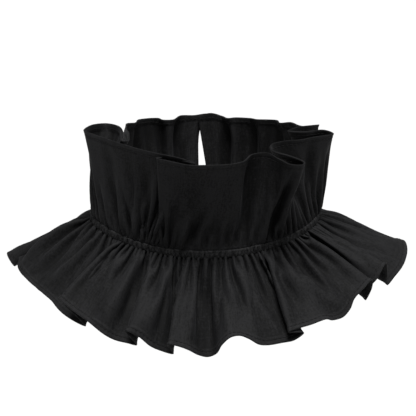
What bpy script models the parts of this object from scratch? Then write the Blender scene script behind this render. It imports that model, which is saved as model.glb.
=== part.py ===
"""A black cotton ruffle collar: a standing frill and a shoulder flounce, gathered onto a narrow neck band.

Metres, +Z up. -Y is the front, +Y the back and +X the wearer's left-hand side as seen from the front.
The origin is the centre of the neck ring, level with its two sides. Azimuths are in degrees from +X, so 90
is the back and 270 the front. Each strip runs from the left side of the back opening (azimuth 94.6) round the
left, the front and the right, and ends at the opening's right side.
"""

import bpy
import numpy as np

MM = 0.001

# The neck ring that the band, the frill and the flounce share
NECK_HALF_WIDTH = 70 * MM
NECK_HALF_DEPTH = 62 * MM
FRONT_DROP = 9.6 * MM  # the ring dips over the chest, below its sides
BACK_DROP = 7 * MM  # and below the nape
OPENING_LEFT_AZIMUTH = 94.6
OPENING_RIGHT_AZIMUTH = 446.8

# The cloth
CLOTH_THICKNESS = 1.2 * MM
SEAM_GAP = 0.3 * MM
GATHER_DEPTH = 1.6 * MM  # a gather stands this far out of the mean surface
GATHER_PEAK = 0.1  # deepest at this share of the strip's width above the seam
GATHER_REACH = 0.5  # and run out at this share
GATHER_SPREAD = 26 * MM  # the seam follows the free edge, averaged over this much cloth
FRILL_PULLS = ((0.488, 0.15, 0.22, -27.0),)  # a place along the frill, the reach before and after it, degrees
LEAST_GATHER = 0.35  # no cloth is gathered tighter than this share of the mean spacing
LEVELS = (0.0, 0.1, 0.22, 0.38, 0.57, 0.78, 1.0)  # shares of a strip's width, seam to free edge

# The neck band
BAND_HEIGHT = 5 * MM
BAND_THICKNESS = 2.2 * MM
BAND_STEPS = 72

# The standing frill
FRILL_STEP = 5.5 * MM  # the spacing of the sections along its free edge
FRILL_EASE = 24 * MM  # at the band its folds have eased out over this much cloth
FRILL_EASE_POWER = 0.7

# The shoulder flounce
FLOUNCE_STEP = 5.5 * MM
FLOUNCE_SAG = 2.2 * MM  # how far its middle hangs below the straight line from seam to hem
FLUTE_SPREAD = 45 * MM  # the hem averaged over this much cloth is free of flutes
TUCK_SPREAD = 7 * MM  # and over this much, free of tucks
FLUTE_GROWTH = 0.75  # how the flutes open from the seam to the hem
TUCK_GROWTH = 2.5  # how the tucks close up from the hem

# One row for each bend of the frill's free edge: across, back and up in millimetres.
FRILL_BENDS = (
    # bend                       across   back     up
    ("left end, outside the lap", 0.5, 79.0, 47.5),
    ("lap", -7.0, 78.5, 46.5),
    ("back centre panel", -15.5, 78.5, 46.5),
    ("crevice", -21.0, 66.5, 46.0),
    ("back pleat", -28.0, 66.5, 46.0),
    ("crest", -30.5, 69.0, 46.5),
    ("wide back panel", -42.5, 57.0, 48.0),
    ("crevice", -44.5, 43.5, 48.5),
    ("back of the outer curl", -49.0, 36.5, 49.5),
    ("outer curl", -49.5, 20.5, 50.5),
    ("outer curl", -46.5, -7.5, 51.5),
    ("hairpin behind the front edge", -46.5, -27.0, 51.5),
    ("hairpin behind the front edge", -49.0, -29.5, 52.0),
    ("inner curl", -50.0, -2.5, 52.0),
    ("inner curl", -55.0, 17.5, 52.0),
    ("far side of the roll", -62.0, 22.5, 52.0),
    ("far side of the roll", -69.0, 15.5, 53.0),
    ("left side of the roll", -74.0, -4.5, 53.0),
    ("front left", -68.5, -13.5, 53.0),
    ("front left panel", -59.0, -28.5, 53.0),
    ("front left panel", -50.0, -40.0, 52.5),
    ("front left panel", -39.5, -52.0, 52.0),
    ("front left panel", -27.0, -61.5, 51.0),
    ("front left panel", -15.5, -65.5, 49.5),
    ("inner hairpin of the front loop", -5.0, -69.5, 47.0),
    ("middle layer of the front loop", -11.0, -67.0, 48.0),
    ("middle layer of the front loop", -20.0, -61.0, 49.0),
    ("tip of the front loop", -28.0, -64.0, 49.0),
    ("front loop", -20.0, -68.5, 48.0),
    ("front loop", -10.0, -73.5, 47.0),
    ("front", 0.5, -74.5, 47.0),
    ("front", 13.5, -72.5, 47.0),
    ("front", 22.0, -67.0, 47.5),
    ("bay", 28.5, -53.5, 49.0),
    ("bay", 36.0, -54.0, 50.0),
    ("right loop", 43.0, -63.0, 48.0),
    ("right loop", 49.5, -70.0, 46.5),
    ("tip of the right loop", 57.0, -68.5, 46.0),
    ("tip of the right loop", 57.5, -65.5, 47.0),
    ("back of the right loop", 50.5, -62.0, 49.5),
    ("inward crest", 40.0, -48.5, 50.0),
    ("inward crest", 40.0, -35.0, 51.0),
    ("second layer on the right", 48.0, -30.0, 52.0),
    ("second layer on the right", 58.0, -28.5, 52.5),
    ("second layer on the right", 68.0, -21.5, 53.0),
    ("right side", 78.0, -12.0, 52.5),
    ("third layer on the right", 72.0, 1.0, 52.5),
    ("third layer on the right", 60.0, -2.5, 52.0),
    ("inward crest", 51.0, 0.0, 52.0),
    ("fourth layer on the right", 58.5, 10.0, 52.5),
    ("outward tab", 71.0, 17.0, 52.5),
    ("behind the tab", 61.0, 20.0, 51.0),
    ("back right", 53.5, 35.0, 50.5),
    ("crevice", 48.0, 37.0, 49.5),
    ("back pleat", 46.0, 52.0, 48.5),
    ("back pleat", 41.0, 56.5, 48.0),
    ("crevice", 33.0, 60.0, 47.5),
    ("back pleat", 29.0, 66.5, 47.0),
    ("back pleat", 20.0, 68.5, 47.0),
    ("crevice", 14.5, 69.0, 46.5),
    ("back right panel", 11.0, 76.5, 46.5),
    ("lap", 3.5, 76.0, 48.5),
    ("right end, inside the lap", -5.0, 75.5, 46.5),
)

# One row for each bend of the flounce's hem: across, back and up in millimetres.
# At a tuck the hem doubles back under the next ridge.
HEM_BENDS = (
    # bend                       across   back     up
    ("left end at the opening", -11.5, 102.5, -53.5),
    ("valley", -22.5, 98.5, -57.0),
    ("ridge", -35.0, 101.0, -50.0),
    ("back left panel", -45.0, 94.0, -54.0),
    ("tuck, outer fold", -50.0, 88.5, -56.5),
    ("tuck, inner fold", -49.5, 95.5, -49.5),
    ("ridge", -57.0, 91.5, -49.0),
    ("back left panel", -66.5, 82.0, -53.0),
    ("valley", -71.5, 74.0, -54.5),
    ("ridge", -83.0, 72.0, -45.5),
    ("ridge", -90.0, 65.5, -43.0),
    ("valley", -91.0, 52.5, -48.5),
    ("tuck, outer fold", -94.5, 48.0, -47.0),
    ("tuck, inner fold", -97.5, 55.0, -40.5),
    ("ridge", -103.5, 46.0, -38.5),
    ("left side panel", -108.0, 35.0, -38.0),
    ("valley", -109.5, 23.5, -40.5),
    ("ridge", -117.0, 15.5, -34.5),
    ("valley", -119.5, 0.0, -34.0),
    ("crest of the left flute", -124.0, 4.5, -27.0),
    ("crest of the left flute", -119.5, 8.5, -27.0),
    ("near side of the left flute", -116.0, 0.0, -29.0),
    ("near side of the left flute", -116.0, -8.0, -32.5),
    ("left panel", -110.5, -19.5, -36.0),
    ("left panel", -101.0, -35.0, -39.0),
    ("left panel", -91.5, -48.5, -42.5),
    ("left panel", -86.0, -57.0, -46.0),
    ("valley", -77.5, -67.5, -48.5),
    ("tuck, outer fold", -69.5, -78.5, -48.0),
    ("tuck, inner fold", -86.0, -72.0, -33.5),
    ("front left ridge", -78.5, -78.5, -37.5),
    ("front left ridge", -67.5, -86.5, -43.0),
    ("front left panel", -58.5, -92.0, -48.5),
    ("front left panel", -52.0, -92.5, -52.0),
    ("valley", -44.5, -94.0, -53.5),
    ("tuck, outer fold", -39.0, -96.0, -54.0),
    ("tuck, inner fold", -45.0, -101.0, -44.0),
    ("ridge", -38.0, -101.5, -47.0),
    ("front panel", -31.0, -101.0, -53.0),
    ("valley", -25.0, -99.0, -56.5),
    ("tuck, outer fold", -18.0, -98.5, -58.5),
    ("tuck, inner fold", -21.0, -104.0, -51.0),
    ("ridge", -16.0, -103.5, -52.0),
    ("front panel", -9.5, -103.0, -54.5),
    ("front hang", -3.5, -99.0, -59.0),
    ("front hang", 2.0, -96.5, -61.0),
    ("front hang", 6.5, -97.0, -59.0),
    ("arch", 10.0, -104.0, -51.0),
    ("arch", 14.5, -105.0, -46.5),
    ("arch", 20.0, -103.0, -46.0),
    ("arch", 25.0, -102.5, -48.0),
    ("front panel", 30.5, -103.5, -51.0),
    ("front panel", 36.0, -100.5, -52.5),
    ("front panel", 44.0, -98.0, -52.0),
    ("front panel", 51.5, -96.0, -51.0),
    ("tuck, outer fold", 57.0, -94.5, -47.0),
    ("tuck, inner fold", 48.0, -98.5, -45.5),
    ("ridge", 54.0, -95.5, -44.0),
    ("front panel", 61.0, -93.5, -42.5),
    ("front panel", 70.0, -89.5, -40.5),
    ("valley", 74.0, -85.0, -42.5),
    ("front panel", 80.5, -80.5, -42.0),
    ("front panel", 85.0, -75.5, -38.5),
    ("near side", 87.5, -72.0, -33.5),
    ("near side", 93.5, -68.0, -28.0),
    ("crest", 98.0, -64.0, -24.5),
    ("far side", 98.5, -60.0, -31.0),
    ("valley", 95.0, -59.5, -38.5),
    ("near side", 96.5, -57.0, -32.5),
    ("near side", 102.0, -56.5, -26.0),
    ("crest", 107.5, -51.0, -18.0),
    ("far side", 109.0, -46.0, -26.5),
    ("valley", 109.0, -47.0, -32.5),
    ("right panel", 115.0, -37.5, -29.5),
    ("right panel", 121.0, -25.5, -26.0),
    ("right panel", 125.0, -8.5, -21.5),
    ("right crest", 125.0, 8.5, -20.5),
    ("right side panel", 121.0, 21.5, -24.5),
    ("valley", 114.0, 32.5, -32.0),
    ("tuck, outer fold", 111.0, 39.5, -33.0),
    ("tuck, inner fold", 116.5, 36.5, -26.0),
    ("ridge", 111.0, 47.0, -27.0),
    ("right side panel", 100.0, 58.0, -35.0),
    ("valley", 92.0, 64.5, -39.5),
    ("ridge", 87.5, 74.5, -35.5),
    ("back right panel", 78.0, 80.5, -40.5),
    ("valley", 68.5, 83.0, -46.0),
    ("tuck, outer fold", 62.5, 86.0, -47.5),
    ("tuck, inner fold", 69.5, 87.5, -41.0),
    ("ridge", 62.0, 93.5, -41.5),
    ("back right panel", 49.5, 95.5, -48.5),
    ("valley", 40.0, 94.5, -54.5),
    ("ridge", 34.0, 102.0, -49.0),
    ("back right panel", 24.5, 102.5, -52.0),
    ("valley", 16.5, 99.5, -57.0),
    ("right end at the opening", 6.5, 103.0, -53.5),
)

INK_BLACK = (0.013, 0.013, 0.014, 1.0)


def neck_ring(azimuth, out=0.0, up=0.0):
    """Points on the neck ring at these azimuths in degrees, moved out and up."""
    angle = np.radians(azimuth)
    drop = np.where(np.sin(angle) < 0, FRONT_DROP, BACK_DROP)
    return np.stack(
        [
            (NECK_HALF_WIDTH + out) * np.cos(angle),
            (NECK_HALF_DEPTH + out) * np.sin(angle),
            up - drop * np.sin(angle) ** 2,
        ],
        axis=-1,
    )


def curve_through(points, step):
    """A smooth open curve through the points, as a list of points about one step apart."""
    points = np.asarray(points, float)
    padded = np.vstack([2 * points[0] - points[1], points, 2 * points[-1] - points[-2]])
    knots = np.concatenate([[0], np.cumsum(np.sqrt(np.linalg.norm(np.diff(padded, axis=0), axis=1)))])
    found = []
    for i in range(1, len(points)):
        p0, p1, p2, p3 = padded[i - 1 : i + 3]
        t0, t1, t2, t3 = knots[i - 1 : i + 3]
        length = np.linalg.norm(p2 - p1)
        count = max(1, round(length / step))
        for t in t1 + (t2 - t1) * np.arange(count) / count:
            a = ((t1 - t) * p0 + (t - t0) * p1) / (t1 - t0)
            b = ((t2 - t) * p1 + (t - t1) * p2) / (t2 - t1)
            c = ((t3 - t) * p2 + (t - t2) * p3) / (t3 - t2)
            d = ((t2 - t) * a + (t - t0) * b) / (t2 - t0)
            e = ((t3 - t) * b + (t - t1) * c) / (t3 - t1)
            found.append(((t2 - t) * d + (t - t1) * e) / (t2 - t1))
    found.append(points[-1])
    return np.array(found)


def arc_lengths(points):
    return np.concatenate([[0], np.cumsum(np.linalg.norm(np.diff(points, axis=0), axis=1))])


def averaged(values, along, spread):
    """The values smoothed along the cloth over this spread, with both ends kept where they are."""
    if spread <= 0:
        return values.copy()
    values = values.reshape(len(along), -1)
    reach = np.linspace(-3, 3, 49)
    weights = np.exp(-(reach**2) / 2)
    weights /= weights.sum()
    found = np.empty_like(values)
    for i, at in enumerate(along):
        places = at + reach * spread
        under, over = places < 0, places > along[-1]
        mirrored = np.where(under, -places, np.where(over, 2 * along[-1] - places, places))
        for k in range(values.shape[1]):
            near = np.interp(mirrored, along, values[:, k])
            near = np.where(under, 2 * values[0, k] - near, near)
            near = np.where(over, 2 * values[-1, k] - near, near)
            found[i, k] = weights @ near
    return found


def seam_azimuths(along, edge, pulls=()):
    """Where each section of a strip is gathered onto the neck ring: its free edge's azimuth, averaged.

    A pull draws the seam round by some degrees at one place along the strip.
    """
    azimuths = np.degrees(np.unwrap(np.arctan2(edge[:, 1], edge[:, 0])))
    azimuths = averaged(azimuths, along, GATHER_SPREAD)[:, 0]
    for place, before, after, turn in pulls:
        away = along / along[-1] - place
        away /= np.where(away < 0, before, after)
        azimuths += turn * np.cos(np.clip(away, -1, 1) * np.pi / 2) ** 2
    steps = np.diff(azimuths)
    steps = np.maximum(steps, LEAST_GATHER * steps.mean())
    steps *= (OPENING_RIGHT_AZIMUTH - OPENING_LEFT_AZIMUTH) / steps.sum()
    return OPENING_LEFT_AZIMUTH + np.concatenate([[0], np.cumsum(steps)])


def gathers(count, share):
    """How far each section stands out at this share of the strip's width: in and out by turns, dying away."""
    turns = np.where(np.arange(count) % 2, 1.0, -1.0)
    turns[0] = turns[-1] = 0.0
    rise = min(1.0, share / GATHER_PEAK)
    fall = max(0.0, (GATHER_REACH - share) / (GATHER_REACH - GATHER_PEAK))
    return GATHER_DEPTH * turns * min(rise, fall)


def frill_grid():
    """The standing frill's middle surface, a row of points for each level up to the free edge."""
    bends = np.array([(across, back, up) for _, across, back, up in FRILL_BENDS]) * MM
    edge = curve_through(bends, FRILL_STEP)
    along = arc_lengths(edge)
    seam = seam_azimuths(along, edge, FRILL_PULLS)
    foot_level = BAND_HEIGHT / 2 + SEAM_GAP + CLOTH_THICKNESS / 3
    foot = neck_ring(seam, up=foot_level)
    rows = []
    for share in LEVELS:
        eased = averaged(edge, along, FRILL_EASE * (1 - share) ** FRILL_EASE_POWER)
        waved = neck_ring(seam, out=gathers(len(edge), share), up=foot_level)
        rows.append(waved + (eased - foot) * share)
    return np.array(rows)


def flounce_grid():
    """The shoulder flounce's middle surface, one row of points for each level from the band to the hem."""
    bends = np.array([(across, back, up) for _, across, back, up in HEM_BENDS]) * MM
    hem = curve_through(bends, FLOUNCE_STEP)
    along = arc_lengths(hem)
    seam = seam_azimuths(along, hem)
    start_out = BAND_THICKNESS / 2 + SEAM_GAP + CLOTH_THICKNESS / 2
    start_up = -BAND_HEIGHT / 2 + CLOTH_THICKNESS / 2
    foot = neck_ring(seam, out=start_out, up=start_up)
    broad = averaged(hem, along, FLUTE_SPREAD)
    fluted = averaged(hem, along, TUCK_SPREAD)
    fall = broad - foot
    level = -fall[:, 2:] * fall[:, :2]
    lift = np.column_stack([level, fall[:, 0] ** 2 + fall[:, 1] ** 2])
    lift /= np.linalg.norm(lift, axis=1)[:, None]
    rows = []
    for share in LEVELS:
        point = foot + fall * share
        point += (fluted - broad) * share**FLUTE_GROWTH + (hem - fluted) * share**TUCK_GROWTH
        point += lift * (gathers(len(hem), share) - FLOUNCE_SAG * 4 * share * (1 - share))[:, None]
        rows.append(point)
    return np.array(rows)


def surface_normals(grid):
    along = np.gradient(grid, axis=1)
    up = np.gradient(grid, axis=0)
    normals = np.cross(along, up)
    return normals / np.linalg.norm(normals, axis=2)[:, :, None]


def black_material(name, colour, roughness, metallic=0.0):
    material = bpy.data.materials.new(name)
    material.use_nodes = True
    shader = material.node_tree.nodes["Principled BSDF"]
    shader.inputs["Base Color"].default_value = colour
    shader.inputs["Roughness"].default_value = roughness
    shader.inputs["Metallic"].default_value = metallic
    return material


def add_object(name, points, faces, material):
    mesh = bpy.data.meshes.new(name)
    mesh.from_pydata([tuple(p) for p in points], [], faces)
    mesh.materials.append(material)
    mesh.shade_smooth()
    obj = bpy.data.objects.new(name, mesh)
    bpy.context.scene.collection.objects.link(obj)
    return obj


def cloth_wall(name, grid, thickness, material):
    """A closed wall of this thickness about a grid's middle surface."""
    rows, columns = grid.shape[:2]
    shift = surface_normals(grid) * thickness / 2
    points = np.concatenate([(grid + shift).reshape(-1, 3), (grid - shift).reshape(-1, 3)])
    inner = rows * columns
    faces = []
    for r in range(rows - 1):
        for c in range(columns - 1):
            a, b = r * columns + c, r * columns + c + 1
            d, e = a + columns, b + columns
            faces.append((a, b, e, d))
            faces.append((inner + d, inner + e, inner + b, inner + a))
    rim = [c for c in range(columns)]
    rim += [r * columns + columns - 1 for r in range(1, rows)]
    rim += [(rows - 1) * columns + c for c in range(columns - 2, -1, -1)]
    rim += [r * columns for r in range(rows - 2, 0, -1)]
    for i, a in enumerate(rim):
        b = rim[(i + 1) % len(rim)]
        faces.append((b, a, inner + a, inner + b))
    return add_object(name, points, faces, material)


def neck_band(material):
    """The band: a flat tape on edge, following the neck ring."""
    azimuths = np.linspace(OPENING_LEFT_AZIMUTH, OPENING_RIGHT_AZIMUTH, BAND_STEPS + 1)
    grid = np.array([neck_ring(azimuths, up=up) for up in (-BAND_HEIGHT / 2, BAND_HEIGHT / 2)])
    return cloth_wall("neck_band", grid, BAND_THICKNESS, material)


def main():
    for obj in list(bpy.data.objects):
        bpy.data.objects.remove(obj)
    cotton = black_material("black cotton", INK_BLACK, 0.85)
    cloth_wall("standing_frill", frill_grid(), CLOTH_THICKNESS, cotton)
    cloth_wall("shoulder_flounce", flounce_grid(), CLOTH_THICKNESS, cotton)
    neck_band(cotton)


main()
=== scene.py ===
"""A black cotton ruffle collar: a standing frill and a shoulder flounce, gathered onto a narrow neck band.

Lengths in the tables of bends are millimetres, and all else is metres. -Y is the front, +Y the back, +Z up.
Each strip is cut straight. It runs from the left side of the back opening round the left, the front and the
right, and ends at the opening's right side.
"""

import math

import bpy
import numpy as np
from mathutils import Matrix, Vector


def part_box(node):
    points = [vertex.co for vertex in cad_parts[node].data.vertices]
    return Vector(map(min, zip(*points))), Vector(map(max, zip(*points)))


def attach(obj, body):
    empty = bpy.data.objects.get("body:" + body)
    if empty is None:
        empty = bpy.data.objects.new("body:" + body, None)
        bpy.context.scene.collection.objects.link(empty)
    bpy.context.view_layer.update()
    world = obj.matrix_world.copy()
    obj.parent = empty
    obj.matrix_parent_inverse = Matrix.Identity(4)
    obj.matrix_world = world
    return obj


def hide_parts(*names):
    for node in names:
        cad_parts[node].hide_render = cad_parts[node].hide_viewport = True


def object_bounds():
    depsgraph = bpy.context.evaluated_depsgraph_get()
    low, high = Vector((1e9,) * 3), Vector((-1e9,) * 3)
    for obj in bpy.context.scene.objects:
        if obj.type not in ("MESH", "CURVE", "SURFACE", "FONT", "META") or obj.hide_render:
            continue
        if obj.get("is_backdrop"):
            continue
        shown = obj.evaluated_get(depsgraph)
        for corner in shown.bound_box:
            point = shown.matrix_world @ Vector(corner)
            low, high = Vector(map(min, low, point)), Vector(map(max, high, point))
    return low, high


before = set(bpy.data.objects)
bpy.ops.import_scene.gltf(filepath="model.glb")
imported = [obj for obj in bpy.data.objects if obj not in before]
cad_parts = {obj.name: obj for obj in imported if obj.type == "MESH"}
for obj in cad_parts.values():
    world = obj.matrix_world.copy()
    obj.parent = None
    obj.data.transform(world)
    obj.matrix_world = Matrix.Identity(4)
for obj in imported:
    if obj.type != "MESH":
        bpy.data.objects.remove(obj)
CAD_LOW, CAD_HIGH = (Vector(corner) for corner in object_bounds())

MM = 0.001

# The neck ring, measured on the frame's own band
BAND_LOW, BAND_HIGH = (Vector(corner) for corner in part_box("neck_band"))
BAND_HEIGHT = 2 * BAND_HIGH.z  # the band is level with the origin at its two sides
BAND_THICKNESS = 2.2 * MM
NECK_HALF_WIDTH = (BAND_HIGH.x - BAND_LOW.x - BAND_THICKNESS) / 2
NECK_HALF_DEPTH = -BAND_LOW.y - BAND_THICKNESS / 2
FRONT_DROP = -BAND_LOW.z - BAND_HEIGHT / 2
BACK_DROP = 7 * MM
OPENING_LEFT_AZIMUTH = 94.6
OPENING_RIGHT_AZIMUTH = 446.8

# The cloth
CLOTH = 0.38 * MM
HEM_CLOTH = 0.9 * MM  # a double-turned hem is three layers
HEM_WIDTH = 3.2 * MM
HEM_STITCH_LINE = 2.5 * MM  # from the free edge
BAND_STITCH_LINE = 0.9 * MM  # above and below the band's middle
STITCH_GROOVE = 0.35 * MM  # half the width that a row of stitches pulls in
BAND_GROOVE = 0.15 * MM  # how deep it pulls the band in, and then the hem
HEM_GROOVE = 0.22 * MM
STITCH_RISE = 0.12 * MM
THREAD_RADIUS = 0.15 * MM
BAND_STITCHES = (1.7 * MM, 2.3 * MM)  # a stitch's length, and from one stitch to the next
HEM_STITCHES = (2.1 * MM, 2.6 * MM)
BAND_COLUMNS = 861
BAND_END = 4  # columns over which the tape tapers at each end
BAND_PUCKERS = ((0.75 * MM, 2.8 * MM, 0.6), (0.3 * MM, 7 * MM, 0.5))  # depth, spacing, unevenness
BAND_SWAY = 0.22 * MM
GATHER_SPREAD = 26 * MM  # a strip's turns are evened out over this length before they meet the seam
LEAST_GATHER = 0.35  # of the mean step along the seam
COLUMN = 0.86 * MM  # the mesh's spacing along a strip

UNEVENNESS = 0.42  # of the gathers' spacing
TIER_DRIFT = 0.35  # how far a tier wanders up and down, as a share of its spread
EVENING = 8 * MM  # the cloth's fullness is evened out over this length
MOST_FULL = 3.2

# How a gathered strip takes up its spare cloth, in tiers of folds. Each has its folds' spacing, where it is
# strongest and how far it spreads, as shares of the way from the seam, and how full it is.
GATHER_TIERS = (
    (7.0 * MM, 0.0, 0.11, 1.0),
    (13 * MM, 0.13, 0.09, 0.85),
    (28 * MM, 0.40, 0.24, 0.5),
)

FRILL_WIDTH = 54 * MM
FRILL_EASE = 13 * MM  # at the band its folds have eased out over this much cloth
FRILL_EASE_POWER = 0.7
# The loop in front is drawn to the left where it is gathered: place, reach before and after it, degrees
FRILL_PULLS = ((0.488, 0.15, 0.22, -27.0),)
LAP_BOW = 3.0 * MM  # the left end bows away from the right one below the lap
LAP_REACH = 14 * MM
FRILL_FULLNESS = 0.55

FLOUNCE_WIDTH = 57 * MM
FLOUNCE_START_UP = -BAND_HEIGHT / 2 + 0.9 * MM  # its raw edge is caught in the fold of the band
FLOUNCE_DROP = 1.2 * MM  # it comes straight down out of the band before it spreads
FLOUNCE_SAG = 0.5 * MM
FLUTE_SPREAD = 45 * MM
TUCK_SPREAD = 7 * MM
FLUTE_GROWTH = 0.7
TUCK_GROWTH = 2.2
FLOUNCE_FULLNESS = 0.5

# How the cloth settles
ROUNDS = 250
SEAM_STIFFNESS = 0.01
BODY_STIFFNESS = 0.05
STIFFENINGS = 3  # in each round
STIFFENS = (0.06, 0.3)  # shares of the width between which the seam's stiffness becomes the body's
DOWN_STIFFNESS = 0.05
YIELDING = 0.45  # the share of its way back that a thread goes in a round
BIAS_FIRMNESS = 0.25  # beside 1 for the threads themselves
LEAST_CREASE = 2.1 * MM  # half the width of the narrowest crease that stays in the cloth

# The cloth is painted paler on its ridges and darker in its troughs, partly for wear and partly as painted
# light and shade
RIDGE_SPREAD = 14 * MM
RIDGE_HEIGHT = 1.8 * MM

# The studio
FLOOR_BELOW = 0.25
ROOM_LIGHT = 0.13
# Each lamp: its power in watts a square metre, how wide it looks in radians, and where it shines from
LAMPS = (
    ("overhead light", 5.9, 0.45, (0.04, -0.16, 1.0)),
    ("right light", 0.35, 0.7, (1.0, -0.6, 0.4)),
)
CAMERA_LENS = 150.0
CAMERA_ELEVATION = 14.0  # degrees
CAMERA_AIM = (1.86 * MM, 3.1 * MM)  # across, and up the view
CAMERA_DISTANCE = 1.0746

# The finishes
GRAIN_MIDDLE = 0.455  # the grain that shows as the dark colour, before the ridges
GRAIN_CONTRAST = 9.5
# How much paler the ridges and darker the troughs are painted: partly wear, partly painted light and shade
RIDGE_WEAR_AND_SHADE_TONE = 0.42
WEAVE_SCALE = 500.0
WEAVE_DEPTH = 0.16 * MM
COTTON_DARK = (0.0012, 0.0012, 0.0013, 1.0)
COTTON_LIGHT = (0.0086, 0.0086, 0.0091, 1.0)
TAPE_DARK = (0.0016, 0.0016, 0.0017, 1.0)
TAPE_LIGHT = (0.0190, 0.0190, 0.0196, 1.0)
# The hem edge's paler colour: partly wear, partly a painted highlight
WORN_AND_HIGHLIT_COTTON = (0.03, 0.03, 0.031, 1.0)
HEM_WEAR_AND_HIGHLIGHT = (0.048, 0.056)  # from the seam, where the hem's wear and painted highlight start and are full
NO_HEM_WEAR_OR_HIGHLIGHT = (0.2, 0.3)  # past the tape's own width, so the tape has no hem wear or painted highlight

# Creases pressed into the strips. Each runs from one place to another, given as a share of the strip's length
# and of its width from the seam. Then come its own width and depth in millimetres, below zero for a ridge.
FRILL_CREASES = (
    # crease                        from           to           width depth
    ("back left, outward", (0.020, 0.30), (0.034, 0.99), 3.6, -4.6),
    ("back left, outward", (0.046, 0.25), (0.055, 0.99), 2.4, -4.9),
    ("back left, outward", (0.076, 0.25), (0.094, 0.99), 2.4, -5.3),
    ("left", (0.150, 0.05), (0.143, 0.70), 2.6, 2.2),
    ("left", (0.190, 0.04), (0.197, 0.50), 2.2, 2.0),
    ("left", (0.250, 0.05), (0.262, 0.60), 2.6, 2.2),
    ("left", (0.290, 0.04), (0.285, 0.40), 2.0, 1.8),
    ("front left", (0.326, 0.08), (0.349, 0.66), 2.3, 2.0),
    ("front left", (0.347, 0.20), (0.366, 0.85), 2.2, 1.6),
    ("front left", (0.357, 0.25), (0.373, 0.75), 2.0, 1.4),
    ("front left, short", (0.351, 0.04), (0.364, 0.28), 1.9, 2.0),
    ("front left, slanting", (0.396, 0.04), (0.424, 0.36), 4.0, 4.6),
    ("front left, slanting", (0.416, 0.03), (0.438, 0.33), 4.0, 4.6),
    ("soft hollow, front left", (0.405, 0.38), (0.411, 0.78), 9.6, 3.5),
    ("soft hollow, front", (0.531, 0.10), (0.527, 0.92), 8.4, 3.5),
    ("front ridge, slanting", (0.519, 0.06), (0.538, 0.48), 4.0, -3.4),
    ("front, slanting", (0.527, 0.03), (0.544, 0.44), 4.0, 4.6),
    ("front, short", (0.548, 0.04), (0.546, 0.30), 3.0, 3.8),
    ("front, short", (0.557, 0.03), (0.553, 0.30), 3.0, 3.8),
    ("front, short", (0.566, 0.03), (0.566, 0.24), 3.0, 3.8),
    ("front, short", (0.574, 0.03), (0.577, 0.28), 3.0, 3.8),
    ("soft hollow, front", (0.560, 0.45), (0.556, 0.85), 6.0, 2.4),
    ("front right, long", (0.584, 0.08), (0.583, 0.96), 4.1, 6.0),
    ("front right, short", (0.610, 0.02), (0.617, 0.32), 3.0, 3.8),
    ("under the right loop", (0.618, 0.05), (0.630, 0.74), 3.8, 6.0),
    ("under the right loop", (0.636, 0.18), (0.645, 0.52), 3.1, 4.0),
    ("right, upright", (0.712, 0.08), (0.736, 0.98), 2.2, 3.0),
    ("right", (0.722, 0.04), (0.752, 0.64), 2.4, 2.2),
    ("right", (0.790, 0.05), (0.800, 0.60), 2.4, 2.2),
    ("right", (0.830, 0.04), (0.822, 0.50), 2.2, 2.0),
    ("back right", (0.865, 0.05), (0.872, 0.70), 2.4, 2.2),
    ("back right, outward", (0.915, 0.40), (0.893, 0.99), 3.1, -4.6),
    ("back right, outward", (0.949, 0.20), (0.939, 0.99), 2.4, -4.6),
    ("back right, outward", (0.960, 0.20), (0.952, 0.86), 2.4, -3.0),
    ("back right, outward", (0.983, 0.10), (0.968, 0.99), 2.6, -5.7),
)
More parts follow.
